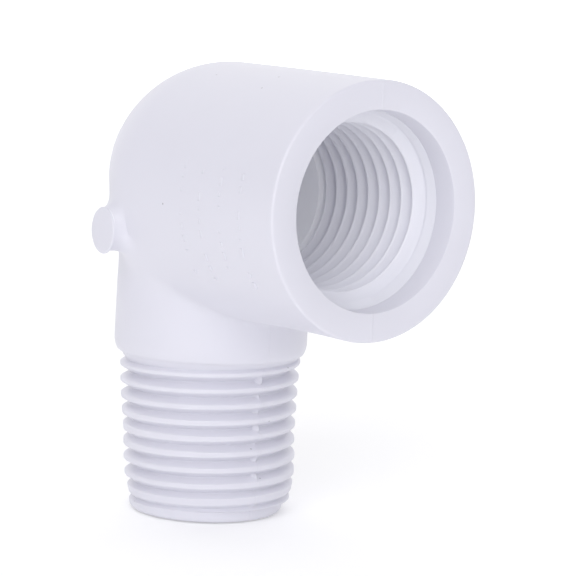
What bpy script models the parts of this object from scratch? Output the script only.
"""Half-inch street elbow in white PVC: a threaded socket, a right-angle bend and a threaded spigot.

The real fitting is one moulding.  It is modelled as the four sections that a fitter names, which
meet face to face on flat planes: the socket, the elbow body, the spigot and the gate stub.

Metres, +Z up.  The origin is the centre of the spigot's end face, the spigot points down, and the
socket's mouth faces +X.
"""
import math

import bmesh
import bpy
from mathutils import Matrix

MM = 0.001

# Pipe thread: 14 turns to the inch, right hand, tapering 1 in 16 on diameter.
PITCH = 25.4 / 14 * MM
TAPER = 1 / 32
CREST_FLAT = 0.20
ROOT_FLAT = 0.09

# The bend: the two axes cross at this height over the spigot's end face.
AXIS_HEIGHT = 37.1 * MM
HEEL_RADIUS = 14.5 * MM
HEEL_OFFSET = 2.5 * MM
HEEL_DEPTH = 13.4 * MM
HEEL_POWER = 2.2
PASSAGE_RADIUS = 8.5 * MM

# Socket, along +X.
SOCKET_REACH = 28.7 * MM
SOCKET_START = 11.4 * MM
SOCKET_RADIUS = 13.8 * MM
RIM_ROUND = 0.3 * MM
COUNTERBORE_RADIUS = 10.65 * MM
COUNTERBORE_DEPTH = 2.9 * MM
LEAD_DEPTH = 1.5 * MM
LEAD_RADIUS = 10.05 * MM
LEAD_MOUTH_RADIUS = 10.5 * MM
SOCKET_THREAD_RADIUS = 10.35 * MM
SOCKET_THREAD_DEPTH = 1.15 * MM
SOCKET_THREAD_END = 8.0 * MM
SOCKET_THREAD_TURN = 0.87

# Spigot, along -Z.
COLLAR_BOTTOM = 18.3 * MM
COLLAR_RADIUS = 11.13 * MM
COLLAR_ROUND = 0.5 * MM
SHANK_TOP_RADIUS = 10.85 * MM
SHANK_TOP_DROP = 2.0 * MM
SPIGOT_THREAD_RADIUS = 9.95 * MM
SPIGOT_THREAD_DEPTH = 1.2 * MM
SPIGOT_THREAD_TURN = 0.496
SPIGOT_BORE_RADIUS = 7.3 * MM
SPIGOT_BORE_DRAFT = 0.005
NOSE_STEPS = ((0.0, 8.4), (0.5, 8.85), (1.3, 8.95), (1.6, 9.4), (3.9, 9.85))

# Gate stub, along -Y, on the side of the bend.  It is slightly slimmer along X and at its root.
STUB_RADIUS = 2.6 * MM
STUB_SLIMNESS = 0.87
STUB_DRAFT = 0.08
STUB_TIP = 15.4 * MM
STUB_LAND = 14.5 * MM
STUB_ROOT = 9.95 * MM
STUB_DROP = 4.5 * MM

SEGMENTS = 40
ROUND_STEPS = 3
HEEL_STEPS = 12
OVERLAP = 1.0 * MM
MERGE = 1e-7

ALONG_X = Matrix.Rotation(math.pi / 2, 4, "Y")
ALONG_MINUS_Y = Matrix.Rotation(math.pi / 2, 4, "X")


def clear_scene():
    """Remove whatever the scene holds at the start."""
    for existing in list(bpy.data.objects):
        bpy.data.objects.remove(existing, do_unlink=True)


def plastic(name, colour, roughness):
    """A plain moulded plastic."""
    material = bpy.data.materials.new(name)
    material.use_nodes = True
    shader = material.node_tree.nodes["Principled BSDF"]
    shader.inputs["Base Color"].default_value = (*colour, 1.0)
    shader.inputs["Roughness"].default_value = roughness
    shader.inputs["Metallic"].default_value = 0.0
    return material


def new_object(name, shape, placement=None):
    """Close a bmesh into a named object, turned to its axis and moved to its place."""
    bmesh.ops.remove_doubles(shape, verts=shape.verts, dist=MERGE)
    bmesh.ops.recalc_face_normals(shape, faces=shape.faces)
    if placement is not None:
        bmesh.ops.transform(shape, matrix=placement, verts=shape.verts)
    mesh = bpy.data.meshes.new(name)
    shape.to_mesh(mesh)
    shape.free()
    piece = bpy.data.objects.new(name, mesh)
    bpy.context.scene.collection.objects.link(piece)
    return piece


def turned(name, outline, placement=None):
    """Spin an outline of (radius, height) points, bottom to top, into a closed solid about Z.

    An end of the outline that is off the axis is closed with a flat disc.
    """
    shape = bmesh.new()
    points = [shape.verts.new((radius, 0.0, height)) for radius, height in outline]
    edges = [shape.edges.new(pair) for pair in zip(points, points[1:])]
    bmesh.ops.spin(
        shape,
        geom=points + edges,
        cent=(0, 0, 0),
        axis=(0, 0, 1),
        angle=2 * math.pi,
        steps=SEGMENTS,
        use_merge=True,
    )
    bmesh.ops.remove_doubles(shape, verts=shape.verts, dist=MERGE)
    rims = [edge for edge in shape.edges if len(edge.link_faces) == 1]
    bmesh.ops.holes_fill(shape, edges=rims, sides=SEGMENTS)
    return new_object(name, shape, placement)


def arc(centre_radius, centre_height, radius, start, end):
    """Points on a quarter round in an outline; angles in degrees from the outward direction."""
    points = []
    for step in range(ROUND_STEPS + 1):
        angle = math.radians(start + (end - start) * step / ROUND_STEPS)
        points.append(
            (centre_radius + radius * math.cos(angle), centre_height + radius * math.sin(angle))
        )
    return points


def nose_radius(height):
    """Largest radius that the spigot's rounded nose and lead-in cone leave at a height."""
    steps = [(step_height * MM, radius * MM) for step_height, radius in NOSE_STEPS]
    for (low, low_radius), (high, high_radius) in zip(steps, steps[1:]):
        if height <= high:
            return low_radius + (high_radius - low_radius) * (height - low) / (high - low)
    return math.inf


def thread_radius(angle, height, crest, depth, turn):
    """Radius of a right-hand thread at an angle and height, where its crest cone has radius crest."""
    place = (height / PITCH - angle / (2 * math.pi) - turn) % 1.0
    from_crest = min(place, 1.0 - place)
    flank = (from_crest - CREST_FLAT / 2) / (0.5 - (CREST_FLAT + ROOT_FLAT) / 2)
    return crest - depth * min(max(flank, 0.0), 1.0)


def threaded_rod(name, length, start_radius, growth, depth, turn, nose=None, placement=None):
    """A closed rod along Z with a helical thread; growth is the change of radius with height."""
    shape = bmesh.new()
    corners = (-CREST_FLAT / 2, CREST_FLAT / 2, 0.5 - ROOT_FLAT / 2, 0.5 + ROOT_FLAT / 2)
    turns = math.ceil(length / PITCH) + 2
    columns = []
    for segment in range(SEGMENTS + 1):
        angle = 2 * math.pi * segment / SEGMENTS
        column = []
        for lap in range(-2, turns):
            for corner in corners:
                rise = (lap + corner + turn + angle / (2 * math.pi)) * PITCH
                height = min(max(rise, 0.0), length)
                crest = start_radius + growth * height
                radius = thread_radius(angle, height, crest, depth, turn)
                if nose is not None:
                    radius = min(radius, nose(height))
                column.append(
                    shape.verts.new(
                        (radius * math.cos(angle), radius * math.sin(angle), height)
                    )
                )
        columns.append(column)
    for left, right in zip(columns, columns[1:]):
        for row in range(len(left) - 1):
            shape.faces.new((left[row], right[row], right[row + 1], left[row + 1]))
    bmesh.ops.remove_doubles(shape, verts=shape.verts, dist=MERGE)
    bmesh.ops.dissolve_degenerate(shape, edges=shape.edges, dist=MERGE)
    for level in (0.0, length):
        rim = [
            edge
            for edge in shape.edges
            if len(edge.link_faces) == 1 and all(abs(v.co.z - level) < MERGE for v in edge.verts)
        ]
        bmesh.ops.contextual_create(shape, geom=rim)
    return new_object(name, shape, placement)


def combine(piece, other, operation):
    """Apply a Boolean with another object, which is then used up."""
    modifier = piece.modifiers.new(operation.lower(), "BOOLEAN")
    modifier.operation = operation
    modifier.solver = "EXACT"
    modifier.object = other
    evaluated = piece.evaluated_get(bpy.context.evaluated_depsgraph_get())
    mesh = bpy.data.meshes.new_from_object(evaluated)
    piece.modifiers.clear()
    piece.data = mesh
    bpy.data.objects.remove(other, do_unlink=True)


def finish(piece, material):
    """Give a piece its material and shade its round faces smooth."""
    piece.data.materials.clear()
    piece.data.materials.append(material)
    piece.data.shade_smooth()
    piece.data.set_sharp_from_angle(angle=math.radians(30))


def on_socket_axis(distance):
    """Placement of a shape that starts at a distance along the socket's axis and points to +X."""
    return Matrix.Translation((distance, 0, AXIS_HEIGHT)) @ ALONG_X


def socket_thread(name):
    """The plug-shaped space of the socket's thread, narrowing away from the mouth."""
    mouth = SOCKET_REACH - COUNTERBORE_DEPTH
    length = mouth - SOCKET_THREAD_END
    return threaded_rod(
        name,
        length,
        SOCKET_THREAD_RADIUS - length * TAPER,
        TAPER,
        SOCKET_THREAD_DEPTH,
        SOCKET_THREAD_TURN,
        placement=on_socket_axis(SOCKET_THREAD_END),
    )


def threaded_socket(material):
    """The horizontal socket: a thick ring with a counterbore, a lead-in cone and a thread."""
    length = SOCKET_REACH - SOCKET_START
    rim = arc(SOCKET_RADIUS - RIM_ROUND, length - RIM_ROUND, RIM_ROUND, 0, 90)
    outline = [(sleeve_radius(SOCKET_START), 0.0), *rim]
    piece = turned("threaded_socket", outline, on_socket_axis(SOCKET_START))
    combine(piece, socket_thread("thread_space"), "DIFFERENCE")
    counterbore = turned(
        "counterbore_space",
        [
            (LEAD_RADIUS - LEAD_DEPTH / 2, -LEAD_DEPTH * 3 / 2),
            (LEAD_RADIUS, -LEAD_DEPTH),
            (LEAD_MOUTH_RADIUS, 0.0),
            (COUNTERBORE_RADIUS, 0.0),
            (COUNTERBORE_RADIUS, COUNTERBORE_DEPTH + OVERLAP),
        ],
        on_socket_axis(SOCKET_REACH - COUNTERBORE_DEPTH),
    )
    combine(piece, counterbore, "DIFFERENCE")
    finish(piece, material)


def sleeve_radius(distance):
    """Outer radius of the socket's drafted tube at a distance along its axis."""
    part = (distance - HEEL_OFFSET) / (SOCKET_REACH - RIM_ROUND - HEEL_OFFSET)
    return HEEL_RADIUS + (SOCKET_RADIUS - HEEL_RADIUS) * part


def heel_and_sleeve(name):
    """The heel of the bend, a slightly squared dome, running on as the start of the socket's tube."""
    outline = [(0.0, -HEEL_DEPTH)]
    for step in range(1, HEEL_STEPS + 1):
        angle = math.pi / 2 * step / HEEL_STEPS
        radius = HEEL_RADIUS * math.sin(angle) ** (2 / HEEL_POWER)
        depth = HEEL_DEPTH * math.cos(angle) ** (2 / HEEL_POWER)
        outline.append((radius, -depth))
    outline.append((sleeve_radius(SOCKET_START), SOCKET_START - HEEL_OFFSET))
    return turned(name, outline, on_socket_axis(HEEL_OFFSET))


def passage(name):
    """The space inside the bend: a round-ended bore behind the socket and the spigot's bore."""
    rounded = [(0.0, -PASSAGE_RADIUS)]
    for step in range(1, HEEL_STEPS + 1):
        angle = math.pi / 2 * step / HEEL_STEPS
        rounded.append((PASSAGE_RADIUS * math.sin(angle), -PASSAGE_RADIUS * math.cos(angle)))
    space = turned(
        name,
        [*rounded, (PASSAGE_RADIUS, SOCKET_THREAD_END + OVERLAP)],
        on_socket_axis(0.0),
    )
    top = AXIS_HEIGHT
    bore = turned(
        "spigot_bore_space",
        [
            (SPIGOT_BORE_RADIUS + SPIGOT_BORE_DRAFT * OVERLAP, -OVERLAP),
            (SPIGOT_BORE_RADIUS - SPIGOT_BORE_DRAFT * top, top),
        ],
    )
    combine(space, bore, "UNION")
    return space


def stub_rod(name, start, end):
    """A drafted oval rod along -Y between two distances from the spigot's axis."""
    outline = [(STUB_RADIUS - STUB_DRAFT * (STUB_TIP - place), place - start) for place in (start, end)]
    slim = Matrix.Scale(STUB_SLIMNESS, 4, (1, 0, 0))
    placement = Matrix.Translation((0, -start, AXIS_HEIGHT - STUB_DROP)) @ slim @ ALONG_MINUS_Y
    return turned(name, outline, placement)


def elbow_body(material):
    """The bend: heel, start of the socket, shank with its collar, and the land under the stub."""
    piece = heel_and_sleeve("elbow_body")
    foot = arc(COLLAR_RADIUS - COLLAR_ROUND, COLLAR_BOTTOM + COLLAR_ROUND, COLLAR_ROUND, -90, 0)
    shank = turned("shank", [*foot, (SHANK_TOP_RADIUS, AXIS_HEIGHT - SHANK_TOP_DROP)])
    combine(piece, shank, "UNION")
    combine(piece, stub_rod("land", STUB_ROOT, STUB_LAND), "UNION")
    combine(piece, passage("passage_space"), "DIFFERENCE")
    combine(piece, socket_thread("thread_space"), "DIFFERENCE")
    finish(piece, material)


def threaded_spigot(material):
    """The spigot: a tapered right-hand thread with a rounded nose and a bore right through."""
    piece = threaded_rod(
        "threaded_spigot",
        COLLAR_BOTTOM,
        SPIGOT_THREAD_RADIUS,
        TAPER,
        SPIGOT_THREAD_DEPTH,
        SPIGOT_THREAD_TURN,
        nose=nose_radius,
    )
    top = COLLAR_BOTTOM + OVERLAP
    bore = turned(
        "bore_space",
        [
            (SPIGOT_BORE_RADIUS + SPIGOT_BORE_DRAFT * OVERLAP, -OVERLAP),
            (SPIGOT_BORE_RADIUS - SPIGOT_BORE_DRAFT * top, top),
        ],
    )
    combine(piece, bore, "DIFFERENCE")
    finish(piece, material)


def gate_stub(material):
    """The short round stub left where the plastic entered the mould."""
    finish(stub_rod("gate_stub", STUB_LAND, STUB_TIP), material)


def main():
    """Build the four sections of the fitting."""
    clear_scene()
    white = plastic("white_pvc", (0.82, 0.81, 0.86), 0.42)
    threaded_socket(white)
    elbow_body(white)
    threaded_spigot(white)
    gate_stub(white)


main()
